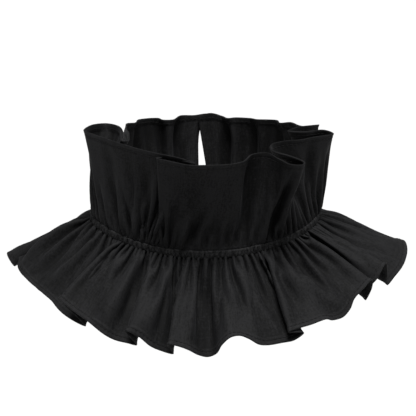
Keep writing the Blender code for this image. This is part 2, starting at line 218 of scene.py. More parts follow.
FLOUNCE_CREASES = (
    # crease                        from           to           width depth
    ("back left", (0.018, 0.05), (0.022, 0.80), 4.8, 6.0),
    ("back left", (0.048, 0.03), (0.041, 0.45), 2.4, 3.0),
    ("back left, broad", (0.071, 0.06), (0.064, 0.92), 6.2, 7.8),
    ("back left", (0.098, 0.03), (0.103, 0.40), 2.2, 2.6),
    ("back left", (0.122, 0.06), (0.116, 0.85), 4.5, 5.6),
    ("left, broad", (0.158, 0.06), (0.150, 0.90), 6.0, 7.5),
    ("left", (0.181, 0.03), (0.186, 0.42), 2.4, 3.0),
    ("left", (0.214, 0.04), (0.207, 0.70), 3.1, 3.9),
    ("left, broad", (0.244, 0.08), (0.252, 0.95), 6.2, 7.8),
    ("left", (0.264, 0.08), (0.262, 0.78), 3.0, 3.8),
    ("left, short", (0.270, 0.03), (0.276, 0.35), 2.0, 2.5),
    ("front left", (0.303, 0.03), (0.286, 0.78), 4.5, 5.6),
    ("front left", (0.313, 0.03), (0.303, 0.55), 2.4, 3.0),
    ("front left, short", (0.343, 0.03), (0.340, 0.22), 1.6, 1.8),
    ("front left, soft", (0.382, 0.03), (0.368, 0.74), 4.0, 1.7),
    ("front left, short", (0.391, 0.03), (0.379, 0.42), 2.2, 2.6),
    ("front left, broad", (0.405, 0.02), (0.393, 0.96), 6.6, 8.2),
    ("front, short", (0.430, 0.06), (0.418, 0.38), 2.2, 2.8),
    ("front, broad", (0.453, 0.07), (0.439, 0.98), 6.0, 7.5),
    ("front, short", (0.481, 0.10), (0.465, 0.52), 2.4, 3.0),
    ("front", (0.490, 0.05), (0.488, 0.88), 3.0, 3.8),
    ("front, short", (0.507, 0.03), (0.500, 0.22), 2.2, 2.8),
    ("front ridge", (0.496, 0.17), (0.536, 0.98), 3.3, -2.6),
    ("front, short", (0.517, 0.05), (0.514, 0.40), 1.9, 2.4),
    ("front, soft", (0.528, 0.28), (0.535, 0.62), 3.0, 1.5),
    ("front right, long", (0.536, 0.03), (0.563, 0.98), 2.8, 3.5),
    ("front right", (0.543, 0.05), (0.557, 0.56), 1.9, 2.4),
    ("front right, broad", (0.579, 0.04), (0.636, 0.93), 6.6, 8.2),
    ("front right, soft", (0.586, 0.25), (0.591, 0.82), 3.7, 3.0),
    ("front right, short", (0.607, 0.03), (0.627, 0.23), 2.1, 2.6),
    ("front right, soft", (0.625, 0.20), (0.641, 0.90), 4.0, 1.6),
    ("right, short", (0.655, 0.03), (0.685, 0.40), 2.2, 2.8),
    ("right, long", (0.712, 0.03), (0.743, 0.97), 4.2, 5.2),
    ("right, soft", (0.738, 0.20), (0.754, 0.86), 2.5, 1.7),
    ("right", (0.776, 0.04), (0.783, 0.55), 2.5, 3.1),
    ("back right, broad", (0.806, 0.06), (0.814, 0.92), 6.2, 7.8),
    ("back right", (0.834, 0.03), (0.829, 0.40), 2.2, 2.8),
    ("back right", (0.861, 0.05), (0.868, 0.78), 4.2, 5.2),
    ("back right, broad", (0.893, 0.06), (0.899, 0.93), 5.8, 7.2),
    ("back right", (0.924, 0.03), (0.919, 0.46), 2.4, 3.0),
    ("back right", (0.947, 0.05), (0.954, 0.84), 4.5, 5.6),
    ("back right", (0.982, 0.04), (0.979, 0.60), 2.6, 3.2),
)

# One row for each bend of the frill's free edge: across, back and up in millimetres.
FRILL_BENDS = (
    # bend                       across   back     up
    ("left end, outside the lap", 0.5, 79.0, 47.5),
    ("lap", -7.0, 78.5, 46.5),
    ("back centre panel", -15.5, 78.5, 46.5),
    ("crevice", -21.0, 66.5, 46.0),
    ("back pleat", -28.0, 66.5, 46.0),
    ("crest", -30.5, 69.0, 46.5),
    ("wide back panel", -42.5, 57.0, 48.0),
    ("crevice", -44.5, 43.5, 48.5),
    ("back of the outer curl", -49.0, 36.5, 49.5),
    ("outer curl", -49.5, 20.5, 50.5),
    ("outer curl", -46.5, -7.5, 51.5),
    ("hairpin behind the front edge", -46.5, -27.0, 51.5),
    ("hairpin behind the front edge", -49.0, -29.5, 52.0),
    ("inner curl", -50.0, -2.5, 52.0),
    ("inner curl", -55.0, 17.5, 52.0),
    ("far side of the roll", -62.0, 22.5, 52.0),
    ("far side of the roll", -69.0, 15.5, 53.0),
    ("left side of the roll", -74.0, -4.5, 53.0),
    ("front left", -68.5, -13.5, 53.0),
    ("front left panel", -59.0, -28.5, 53.0),
    ("front left panel", -50.0, -40.0, 52.5),
    ("front left panel", -39.5, -52.0, 52.0),
    ("front left panel", -27.0, -61.5, 51.0),
    ("front left panel", -15.5, -65.5, 49.5),
    ("inner hairpin of the front loop", -5.0, -69.5, 47.0),
    ("middle layer of the front loop", -11.0, -67.0, 48.0),
    ("middle layer of the front loop", -20.0, -61.0, 49.0),
    ("tip of the front loop", -28.0, -64.0, 49.0),
    ("front loop", -20.0, -68.5, 48.0),
    ("front loop", -10.0, -73.5, 47.0),
    ("front", 0.5, -74.5, 47.0),
    ("front", 13.5, -72.5, 47.0),
    ("front", 22.0, -67.0, 47.5),
    ("bay", 28.5, -53.5, 49.0),
    ("bay", 36.0, -54.0, 50.0),
    ("right loop", 43.0, -63.0, 48.0),
    ("right loop", 49.5, -70.0, 46.5),
    ("tip of the right loop", 57.0, -68.5, 46.0),
    ("tip of the right loop", 57.5, -65.5, 47.0),
    ("back of the right loop", 50.5, -62.0, 49.5),
    ("inward crest", 40.0, -48.5, 50.0),
    ("inward crest", 40.0, -35.0, 51.0),
    ("second layer on the right", 48.0, -30.0, 52.0),
    ("second layer on the right", 58.0, -28.5, 52.5),
    ("second layer on the right", 68.0, -21.5, 53.0),
    ("right side", 78.0, -12.0, 52.5),
    ("third layer on the right", 72.0, 1.0, 52.5),
    ("third layer on the right", 60.0, -2.5, 52.0),
    ("inward crest", 51.0, 0.0, 52.0),
    ("fourth layer on the right", 58.5, 10.0, 52.5),
    ("outward tab", 71.0, 17.0, 52.5),
    ("behind the tab", 61.0, 20.0, 51.0),
    ("back right", 53.5, 35.0, 50.5),
    ("crevice", 48.0, 37.0, 49.5),
    ("back pleat", 46.0, 52.0, 48.5),
    ("back pleat", 41.0, 56.5, 48.0),
    ("crevice", 33.0, 60.0, 47.5),
    ("back pleat", 29.0, 66.5, 47.0),
    ("back pleat", 20.0, 68.5, 47.0),
    ("crevice", 14.5, 69.0, 46.5),
    ("back right panel", 11.0, 76.5, 46.5),
    ("lap", 3.5, 76.0, 48.5),
    ("right end, inside the lap", -5.0, 75.5, 46.5),
)

# One row for each bend of the flounce's hem: across, back and up in millimetres.
# At a tuck the hem doubles back under the next ridge.
HEM_BENDS = (
    # bend                       across   back     up
    ("left end at the opening", -11.5, 102.5, -53.5),
    ("valley", -22.5, 98.5, -57.0),
    ("ridge", -35.0, 101.0, -50.0),
    ("back left panel", -45.0, 94.0, -54.0),
    ("tuck, outer fold", -50.0, 88.5, -56.5),
    ("tuck, inner fold", -49.5, 95.5, -49.5),
    ("ridge", -57.0, 91.5, -49.0),
    ("back left panel", -66.5, 82.0, -53.0),
    ("valley", -71.5, 74.0, -54.5),
    ("ridge", -83.0, 72.0, -45.5),
    ("ridge", -90.0, 65.5, -43.0),
    ("valley", -91.0, 52.5, -48.5),
    ("tuck, outer fold", -94.5, 48.0, -47.0),
    ("tuck, inner fold", -97.5, 55.0, -40.5),
    ("ridge", -103.5, 46.0, -38.5),
    ("left side panel", -108.0, 35.0, -38.0),
    ("valley", -109.5, 23.5, -40.5),
    ("ridge", -117.0, 15.5, -34.5),
    ("valley", -119.5, 0.0, -34.0),
    ("crest of the left flute", -124.0, 4.5, -27.0),
    ("crest of the left flute", -119.5, 8.5, -27.0),
    ("near side of the left flute", -116.0, 0.0, -29.0),
    ("near side of the left flute", -116.0, -8.0, -32.5),
    ("left panel", -110.5, -19.5, -36.0),
    ("left panel", -101.0, -35.0, -39.0),
    ("left panel", -91.5, -48.5, -42.5),
    ("left panel", -86.0, -57.0, -46.0),
    ("valley", -77.5, -67.5, -48.5),
    ("tuck, outer fold", -69.5, -78.5, -48.0),
    ("tuck, inner fold", -86.0, -72.0, -33.5),
    ("front left ridge", -78.5, -78.5, -37.5),
    ("front left ridge", -67.5, -86.5, -43.0),
    ("front left panel", -58.5, -92.0, -48.5),
    ("front left panel", -52.0, -92.5, -52.0),
    ("valley", -44.5, -94.0, -53.5),
    ("tuck, outer fold", -39.0, -96.0, -54.0),
    ("tuck, inner fold", -45.0, -101.0, -44.0),
    ("ridge", -38.0, -101.5, -47.0),
    ("front panel", -31.0, -101.0, -53.0),
    ("valley", -25.0, -99.0, -56.5),
    ("tuck, outer fold", -18.0, -98.5, -58.5),
    ("tuck, inner fold", -21.0, -104.0, -51.0),
    ("ridge", -16.0, -103.5, -52.0),
    ("front panel", -9.5, -103.0, -54.5),
    ("front hang", -3.5, -99.0, -59.0),
    ("front hang", 2.0, -96.5, -61.0),
    ("front hang", 6.5, -97.0, -59.0),
    ("arch", 10.0, -104.0, -51.0),
    ("arch", 14.5, -105.0, -46.5),
    ("arch", 20.0, -103.0, -46.0),
    ("arch", 25.0, -102.5, -48.0),
    ("front panel", 30.5, -103.5, -51.0),
    ("front panel", 36.0, -100.5, -52.5),
    ("front panel", 44.0, -98.0, -52.0),
    ("front panel", 51.5, -96.0, -51.0),
    ("tuck, outer fold", 57.0, -94.5, -47.0),
    ("tuck, inner fold", 48.0, -98.5, -45.5),
    ("ridge", 54.0, -95.5, -44.0),
    ("front panel", 61.0, -93.5, -42.5),
    ("front panel", 70.0, -89.5, -40.5),
    ("valley", 74.0, -85.0, -42.5),
    ("front panel", 80.5, -80.5, -42.0),
    ("front panel", 85.0, -75.5, -38.5),
    ("near side", 87.5, -72.0, -33.5),
    ("near side", 93.5, -68.0, -28.0),
    ("crest", 98.0, -64.0, -24.5),
    ("far side", 98.5, -60.0, -31.0),
    ("valley", 95.0, -59.5, -38.5),
    ("near side", 96.5, -57.0, -32.5),
    ("near side", 102.0, -56.5, -26.0),
    ("crest", 107.5, -51.0, -18.0),
    ("far side", 109.0, -46.0, -26.5),
    ("valley", 109.0, -47.0, -32.5),
    ("right panel", 115.0, -37.5, -29.5),
    ("right panel", 121.0, -25.5, -26.0),
    ("right panel", 125.0, -8.5, -21.5),
    ("right crest", 125.0, 8.5, -20.5),
    ("right side panel", 121.0, 21.5, -24.5),
    ("valley", 114.0, 32.5, -32.0),
    ("tuck, outer fold", 111.0, 39.5, -33.0),
    ("tuck, inner fold", 116.5, 36.5, -26.0),
    ("ridge", 111.0, 47.0, -27.0),
    ("right side panel", 100.0, 58.0, -35.0),
    ("valley", 92.0, 64.5, -39.5),
    ("ridge", 87.5, 74.5, -35.5),
    ("back right panel", 78.0, 80.5, -40.5),
    ("valley", 68.5, 83.0, -46.0),
    ("tuck, outer fold", 62.5, 86.0, -47.5),
    ("tuck, inner fold", 69.5, 87.5, -41.0),
    ("ridge", 62.0, 93.5, -41.5),
    ("back right panel", 49.5, 95.5, -48.5),
    ("valley", 40.0, 94.5, -54.5),
    ("ridge", 34.0, 102.0, -49.0),
    ("back right panel", 24.5, 102.5, -52.0),
    ("valley", 16.5, 99.5, -57.0),
    ("right end at the opening", 6.5, 103.0, -53.5),
)


# ---------------------------------------------------------------------------------------------- shaping cloth


def neck_ring(azimuth, out=0.0, up=0.0):
    """Points on the neck ring at these azimuths in degrees, moved out and up."""
    angle = np.radians(azimuth)
    drop = np.where(np.sin(angle) < 0, FRONT_DROP, BACK_DROP)
    across = (NECK_HALF_WIDTH + out) * np.cos(angle)
    back = (NECK_HALF_DEPTH + out) * np.sin(angle)
    return np.stack([across, back, up - drop * np.sin(angle) ** 2], axis=-1)


def curve_through(points, step):
    """A smooth open curve through the points, with its points one step apart."""
    points = np.asarray(points, float)
    padded = np.vstack([2 * points[0] - points[1], points, 2 * points[-1] - points[-2]])
    knots = np.concatenate([[0], np.cumsum(np.sqrt(np.linalg.norm(np.diff(padded, axis=0), axis=1)))])
    found = []
    for i in range(1, len(points)):
        p0, p1, p2, p3 = padded[i - 1 : i + 3]
        t0, t1, t2, t3 = knots[i - 1 : i + 3]
        t = np.linspace(t1, t2, 24, endpoint=False)[:, None]
        a = ((t1 - t) * p0 + (t - t0) * p1) / (t1 - t0)
        b = ((t2 - t) * p1 + (t - t1) * p2) / (t2 - t1)
        c = ((t3 - t) * p2 + (t - t2) * p3) / (t3 - t2)
        d = ((t2 - t) * a + (t - t0) * b) / (t2 - t0)
        e = ((t3 - t) * b + (t - t1) * c) / (t3 - t1)
        found.append(((t2 - t) * d + (t - t1) * e) / (t2 - t1))
    found = np.vstack(found + [points[-1:]])
    along = arc_lengths(found)
    even = np.linspace(0, along[-1], round(along[-1] / step) + 1)
    return np.column_stack([np.interp(even, along, found[:, k]) for k in range(3)])


def arc_lengths(points):
    return np.concatenate([[0], np.cumsum(np.linalg.norm(np.diff(points, axis=0), axis=1))])


def averaged(values, spread):
    """The values, one a column apart, smoothed over this much cloth, with both ends kept where they are."""
    values = np.asarray(values, float)
    if spread < COLUMN / 2:
        return values.copy()
    reach = min(len(values) - 1, int(3 * spread / COLUMN) + 1)
    weights = np.exp(-((np.arange(-reach, reach + 1) * COLUMN / spread) ** 2) / 2)
    weights /= weights.sum()
    flat = values.reshape(len(values), -1)
    before = 2 * flat[0] - flat[reach:0:-1]
    after = 2 * flat[-1] - flat[-2 : -reach - 2 : -1]
    padded = np.vstack([before, flat, after])
    smooth = [np.convolve(padded[:, k], weights, "valid") for k in range(flat.shape[1])]
    return np.stack(smooth, axis=1).reshape(values.shape)


def seam_azimuths(edge, pulls=()):
    """Where each column of a strip is gathered onto the neck ring: its free edge's azimuth, averaged.

    A pull draws the seam round by some degrees at one place along the strip.
    """
    azimuths = averaged(np.degrees(np.unwrap(np.arctan2(edge[:, 1], edge[:, 0]))), GATHER_SPREAD)
    places = np.linspace(0, 1, len(edge))
    for place, before, after, turn in pulls:
        reach = np.where(places < place, before, after)
        azimuths += turn * np.cos(np.clip((places - place) / reach, -1, 1) * math.pi / 2) ** 2
    steps = np.diff(azimuths)
    steps = np.maximum(steps, LEAST_GATHER * steps.mean())
    steps *= (OPENING_RIGHT_AZIMUTH - OPENING_LEFT_AZIMUTH) / steps.sum()
    return OPENING_LEFT_AZIMUTH + np.concatenate([[0], np.cumsum(steps)])


def normals_of(grid):
    normals = np.cross(np.gradient(grid, axis=1), np.gradient(grid, axis=0))
    return normals / np.maximum(np.linalg.norm(normals, axis=2), 1e-12)[:, :, None]


def wandering(chance, along, wavelength):
    """A smooth random value along the cloth, from -1 to 1, that changes over about this length."""
    knots = int(along[-1] / wavelength) + 4
    values = chance.uniform(-1, 1, knots)
    place = along / wavelength + 1
    near = np.clip(place.astype(int), 1, knots - 3)
    t = place - near
    ease = t * t * (3 - 2 * t)
    return values[near] * (1 - ease) + values[near + 1] * ease


def pleats(chance, along, spacing, unevenness):
    """Rounded ridges with narrow troughs, unevenly spaced along the cloth and of uneven heights."""
    count = int(along[-1] / spacing) + 6
    steps = spacing * (1 + unevenness * chance.uniform(-1, 1, count))
    places = np.cumsum(steps) - 2 * spacing
    phase = np.interp(along, places, np.arange(count))
    heights = np.interp(phase, np.arange(count), chance.uniform(0.45, 1.15, count))
    return heights * (2.0 * np.abs(np.cos(math.pi * phase)) - 1.27)


def smoothly(low, high, x):
    t = np.clip((x - low) / (high - low), 0, 1)
    return t * t * (3 - 2 * t)


def gathered(grid, shares, strength, seed):
    """The grid with its spare cloth taken up in gathers, fine at the seam and broader towards the free edge.

    Each tier's folds are as deep as the cloth's own length along that level asks for.
    """
    chance = np.random.RandomState(seed)
    columns = grid.shape[1]
    along = np.arange(columns) * COLUMN
    tiers = []
    for spacing, strongest, spread, fill in GATHER_TIERS:
        ridges = pleats(chance, along, spacing, UNEVENNESS)
        drift = wandering(chance, along, 3 * spacing)
        tiers.append((spacing, strongest, spread, fill * ridges, drift))
    offset = np.zeros(grid.shape[:2])
    for r, share in enumerate(shares):
        step = np.linalg.norm(np.gradient(grid[r], axis=0), axis=1)
        fullness = averaged(COLUMN / np.maximum(step, 0.2 * COLUMN), EVENING)
        fullness = np.clip(fullness, 1.0, MOST_FULL)
        spare = np.sqrt(2 * np.maximum(fullness**2 - 1, 0))
        weights = []
        for spacing, strongest, spread, ridges, drift in tiers:
            centre = strongest + TIER_DRIFT * spread * drift
            weights.append(np.exp(-(((share - centre) / spread) ** 2)))
        total = np.sum(weights, axis=0)
        for weight, (spacing, strongest, spread, ridges, drift) in zip(weights, tiers):
            depth = spare * np.sqrt(weight / total) * spacing / (2 * math.pi * fullness)
            offset[r] += strength(share) * depth * ridges
    return grid + normals_of(grid) * offset[:, :, None]


def creased(grid, shares, creases):
    """The grid with its own creases pressed in, narrower towards the seam and fading at both ends."""
    along = np.linspace(0, 1, grid.shape[1])
    length = (grid.shape[1] - 1) * COLUMN
    offset = np.zeros(grid.shape[:2])
    for _, (place, start), (end_place, end), width, depth in creases:
        line = place + (end_place - place) * (shares - start) / (end - start)
        wide = np.maximum(LEAST_CREASE, width * MM * (0.5 + 0.5 * smoothly(0.0, 0.6, shares)))
        near = np.exp(-(((along[None, :] - line[:, None]) * length / wide[:, None]) ** 2))
        run = end - start
        fade = smoothly(start - 0.05, start + 0.3 * run, shares)
        fade *= 1 - smoothly(end - 0.2 * run, end + 0.06, shares)
        offset -= depth * MM * near * fade[:, None]
    return grid + normals_of(grid) * offset[:, :, None]


def strip_levels(width):
    """Distances from the seam, closer together at the gathers and across the hem."""
    gathers = np.arange(0, 11.9, 0.8) * MM
    body = np.linspace(12 * MM, width - HEM_WIDTH - 0.9 * MM, 19)
    hem = width - np.array([HEM_WIDTH + 0.25 * MM, HEM_WIDTH - 0.2 * MM, 2.8 * MM, HEM_STITCH_LINE, 2.2 * MM])
    edge = width - np.array([1.5, 0.8, 0.25, 0.0]) * MM
    return np.concatenate([gathers, body, hem, edge])


def frill_grid(shares):
    """The standing frill's middle surface, a row of points for each level from the band to its free edge."""
    edge = curve_through(np.array([row[1:] for row in FRILL_BENDS]) * MM, COLUMN)
    seam = seam_azimuths(edge, FRILL_PULLS)
    foot = neck_ring(seam, up=BAND_HEIGHT / 2 - 0.2 * MM)
    at_left_end = np.exp(-((np.arange(len(edge)) * COLUMN / LAP_REACH) ** 2))
    rows = []
    for share in shares:
        eased = averaged(edge, FRILL_EASE * (1 - share) ** FRILL_EASE_POWER)
        row = foot + (eased - foot) * share
        row[:, 0] -= LAP_BOW * math.sin(math.pi * share**2.2) * at_left_end
        rows.append(row)
    return np.array(rows)


def flounce_grid(shares):
    """The shoulder flounce's middle surface, one row of points for each level from the band to its hem."""
    hem = curve_through(np.array([row[1:] for row in HEM_BENDS]) * MM, COLUMN)
    seam = seam_azimuths(hem)
    foot = neck_ring(seam, up=FLOUNCE_START_UP)
    broad = averaged(hem, FLUTE_SPREAD)
    fluted = averaged(hem, TUCK_SPREAD)
    fall = broad - foot
    level = -fall[:, 2:] * fall[:, :2]
    lift = np.column_stack([level, fall[:, 0] ** 2 + fall[:, 1] ** 2])
    lift /= np.linalg.norm(lift, axis=1)[:, None]
    rows = []
    for share in shares:
        point = foot + fall * share
        point = point + (fluted - broad) * share**FLUTE_GROWTH + (hem - fluted) * share**TUCK_GROWTH
        point = point - lift * FLOUNCE_SAG * 4 * share * (1 - share)
        drop = FLOUNCE_DROP * (1 - math.exp(-share / 0.02)) * (1 - share) ** 4
        rows.append(point - np.array([0, 0, drop]))
    return np.array(rows)


def bent(values):
    """How far each column stands off the line between its two neighbours."""
    found = np.zeros_like(values)
    found[:, 1:-1] = values[:, 2:] - 2 * values[:, 1:-1] + values[:, :-2]
    return found


def settled(grid, pressed, distances, rounds):
    """The cloth let go between its seam and its hem, until its threads have their own lengths again.

    Each thread is pulled or pushed back to its length, or to what the pressed creases have eased it to, and a
    little stiffness rounds off the folds.
    """
    along = np.maximum(COLUMN, np.linalg.norm(np.diff(pressed, axis=1), axis=2))
    cloth = grid.copy()
    widths = np.linalg.norm(np.diff(grid, axis=0), axis=2).sum(axis=0)
    widths = averaged(np.maximum(widths, distances[-1]), 12 * MM) / distances[-1]
    across = np.diff(distances)[:, None] * widths[None, :]
    bias = np.sqrt(COLUMN**2 + (across[:, 1:]) ** 2)
    from_edge = distances[-1] - distances
    free = smoothly(0.2 * MM, 1.2 * MM, distances) * smoothly(0.2 * HEM_WIDTH, 1.6 * HEM_WIDTH, from_edge)
    from_end = np.minimum(np.arange(grid.shape[1]), np.arange(grid.shape[1])[::-1]) * COLUMN
    free = (free[:, None] * smoothly(1 * MM, 6 * MM, from_end)[None, :])[:, :, None]
    eased = smoothly(*STIFFENS, distances / distances[-1])[:, None, None]
    stiffness = SEAM_STIFFNESS + (BODY_STIFFNESS - SEAM_STIFFNESS) * eased
    every = slice(None)
    threads = (
        ((every, slice(0, -1)), (every, slice(1, None)), along, 1.0),
        ((slice(0, -1), every), (slice(1, None), every), across, 1.0),
        ((slice(0, -1), slice(0, -1)), (slice(1, None), slice(1, None)), bias, BIAS_FIRMNESS),
        ((slice(0, -1), slice(1, None)), (slice(1, None), slice(0, -1)), bias, BIAS_FIRMNESS),
    )
    for _ in range(rounds):
        move = np.zeros_like(cloth)
        for one, other, rest, firmness in threads:
            apart = cloth[other] - cloth[one]
            length = np.sqrt((apart**2).sum(axis=2))
            pull = apart * (firmness / 2 * (1 - rest / length))[:, :, None]
            move[one] += pull
            move[other] -= pull
        cloth += free * move * YIELDING
        down = np.zeros_like(cloth)
        down[1:-1] = cloth[2:] - 2 * cloth[1:-1] + cloth[:-2]
        cloth += free * down * DOWN_STIFFNESS
        for _ in range(STIFFENINGS):
            cloth -= free * stiffness * bent(bent(cloth))
    return cloth


def with_free_edge(grid, shares, edge):
    """The grid drawn back onto its free edge over the last part of its width."""
    pull = smoothly(0.6, 1.0, shares)[:, None, None]
    return grid + (edge - grid[-1]) * pull


# ---------------------------------------------------------------------------------------------- making pieces


def add_mesh(name, points, faces, material, places=None):
    mesh = bpy.data.meshes.new(name)
    mesh.from_pydata(np.asarray(points).tolist(), [], faces)
    mesh.materials.append(material)
    mesh.shade_smooth()
    if places is not None:
        layer = mesh.uv_layers.new(name="cloth")
        corners = np.empty(len(mesh.loops), dtype=np.int32)
        mesh.loops.foreach_get("vertex_index", corners)
        layer.data.foreach_set("uv", np.asarray(places)[corners].ravel())
    obj = bpy.data.objects.new(name, mesh)
    bpy.context.scene.collection.objects.link(obj)
    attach(obj, "root")
    return obj


def heights_above(grid, normals):
    """From 1 on the ridges of the cloth to -1 in its troughs."""
    broad = np.array([averaged(row, RIDGE_SPREAD) for row in grid])
    return np.clip(((grid - broad) * normals).sum(axis=2) / RIDGE_HEIGHT, -1, 1)


def cloth_shell(name, grid, distances, material, hem_side):
    """A closed shell about a strip's middle surface.

    Its hem is turned to one side, which is +1 or -1 along the normals, or 0 where it has none.
    """
    rows, columns = grid.shape[:2]
    normals = normals_of(grid)
    from_edge = distances[-1] - distances
    turned = (1 - smoothly(HEM_WIDTH - 0.3 * MM, HEM_WIDTH + 0.1 * MM, from_edge)) * (HEM_CLOTH - CLOTH)
    turned *= np.where(from_edge > 0.2 * MM, 1.0, 0.45) * abs(hem_side)
    stitched = HEM_GROOVE * np.exp(-(((from_edge - HEM_STITCH_LINE) / STITCH_GROOVE) ** 2)) * abs(hem_side)
    above = CLOTH / 2 - stitched + (turned if hem_side > 0 else 0)
    below = CLOTH / 2 - stitched + (turned if hem_side < 0 else 0)
    sides = [grid + normals * above[:, None, None], grid - normals * below[:, None, None]]
    points = np.concatenate([side.reshape(-1, 3) for side in sides])
    under = rows * columns
    faces = []
    for r in range(rows - 1):
        for c in range(columns - 1):
            a = r * columns + c
            d = a + columns
            faces.append((a, a + 1, d + 1, d))
            faces.append((under + d, under + d + 1, under + a + 1, under + a))
    rim = list(range(columns))
    rim += [r * columns + columns - 1 for r in range(1, rows)]
    rim += [(rows - 1) * columns + c for c in range(columns - 2, -1, -1)]
    rim += [r * columns for r in range(rows - 2, 0, -1)]
    for i, a in enumerate(rim):
        b = rim[(i + 1) % len(rim)]
        faces.append((b, a, under + a, under + b))
    across, along = np.meshgrid(np.arange(columns) * COLUMN, distances)
    places = np.tile(np.column_stack([across.ravel(), along.ravel()]), (2, 1))
    shell = add_mesh(name, points, faces, material, places)
    # Heights that the finish turns into paler ridges and darker troughs: partly wear, partly painted light
    # and shade
    heights = heights_above(grid, normals).ravel()
    ridges = shell.data.attributes.new("ridges", "FLOAT", "POINT")
    ridges.data.foreach_set("value", np.concatenate([heights, -heights]))
    return shell


def stitch_points(line, outward, length, spacing, rise):
    """Four points for each stitch that lies along this line of cloth."""
    along = arc_lengths(line)
    starts = np.arange(spacing, along[-1] - spacing, spacing)
    found = []
    for share, lift in ((0.0, -0.6), (0.22, 1.0), (0.78, 1.0), (1.0, -0.6)):
        at = starts + share * length
        place = np.column_stack([np.interp(at, along, line[:, k]) for k in range(3)])
        away = np.column_stack([np.interp(at, along, outward[:, k]) for k in range(3)])
        found.append(place + away * (rise * lift))
    faced = np.column_stack([np.interp(starts, along, outward[:, k]) for k in range(3)])
    return np.stack(found, axis=1), faced


def stitch_row(lines, radius):
    """Points and faces of every stitch: a short thread of five sides, closed at both ends."""
    points, faces = [], []
    ring = [(math.cos(t), math.sin(t)) for t in np.linspace(0, 2 * math.pi, 5, endpoint=False)]
    for stitches, outward in lines:
        for way, up in zip(stitches, outward):
            run = way[-1] - way[0]
            run = run / max(np.linalg.norm(run), 1e-9)
            side = np.cross(run, up)
            side = side / max(np.linalg.norm(side), 1e-9)
            rise = np.cross(side, run)
            first = len(points)
            for k, place in enumerate(way):
                size = radius * (0.55 if k in (0, 3) else 1.0)
                points += [place + size * (c * side + s * rise) for c, s in ring]
            for k in range(3):
                for j in range(5):
                    a, b = first + 5 * k + j, first + 5 * k + (j + 1) % 5
                    faces.append((a, b, b + 5, a + 5))
            faces.append(tuple(first + j for j in range(4, -1, -1)))
            faces.append(tuple(first + 15 + j for j in range(5)))
    return points, faces


def row_at(grid, distances, distance):
    """The line of cloth at this distance from the seam, and the way its face looks."""
    r = int(np.argmin(np.abs(distances - distance)))
    return grid[r], normals_of(grid)[r]


# ---------------------------------------------------------------------------------------------- finishes


class Field:
    """A number that varies over a surface. Sums and products of fields make their own Math nodes."""

    def __init__(self, finish, socket):
        self.finish, self.socket = finish, socket

    def _with(self, operation, *others):
        values = [other.socket if isinstance(other, Field) else other for other in (self, *others)]
        return self.finish.node("ShaderNodeMath", {"operation": operation}, dict(enumerate(values)))

    def __add__(self, other):
        return self._with("ADD", other)

    def __mul__(self, other):
        return self._with("MULTIPLY", other)

    def __sub__(self, other):
        return self._with("SUBTRACT", other)

    def __rsub__(self, other):
        return self * -1.0 + other

    def __pow__(self, power):
        return self._with("POWER", power)

    __radd__, __rmul__ = __add__, __mul__

    def clamped(self):
        return self._with("MINIMUM", 1.0)._with("MAXIMUM", 0.0)


class Finish:
    """A material and its nodes."""

    def __init__(self, name):
        self.material = bpy.data.materials.new(name)
        self.material.use_nodes = True
        self.tree = self.material.node_tree
        self.shader = self.tree.nodes["Principled BSDF"]

    def node(self, kind, settings=None, values=None, output=0):
        made = self.tree.nodes.new(kind)
        for setting, value in (settings or {}).items():
            setattr(made, setting, value)
        for socket, value in (values or {}).items():
            self.put(made.inputs[socket], value)
        return Field(self, made.outputs[output])

    def put(self, socket, value):
        value = value.socket if isinstance(value, Field) else value
        if isinstance(value, bpy.types.NodeSocket):
            self.tree.links.new(value, socket)
        else:
            socket.default_value = value

    def noise(self, place, scale, detail=2.0, roughness=0.5):
        values = {"Vector": place, "Scale": scale, "Detail": detail, "Roughness": roughness}
        return self.node("ShaderNodeTexNoise", {}, values)

    def stretched(self, place, along, across):
        """The place with its two directions scaled by themselves, so that a pattern is drawn out."""
        values = {0: place, 1: (along, across, 1.0)}
        return self.node("ShaderNodeVectorMath", {"operation": "MULTIPLY"}, values)

    def between(self, factor, low, high):
        """From one number to another as the factor goes from 0 to 1."""
        return factor * (high - low) + low

    def blended(self, factor, one, other):
        return self.node("ShaderNodeMix", {"data_type": "RGBA"}, {0: factor, 6: one, 7: other}, 2)


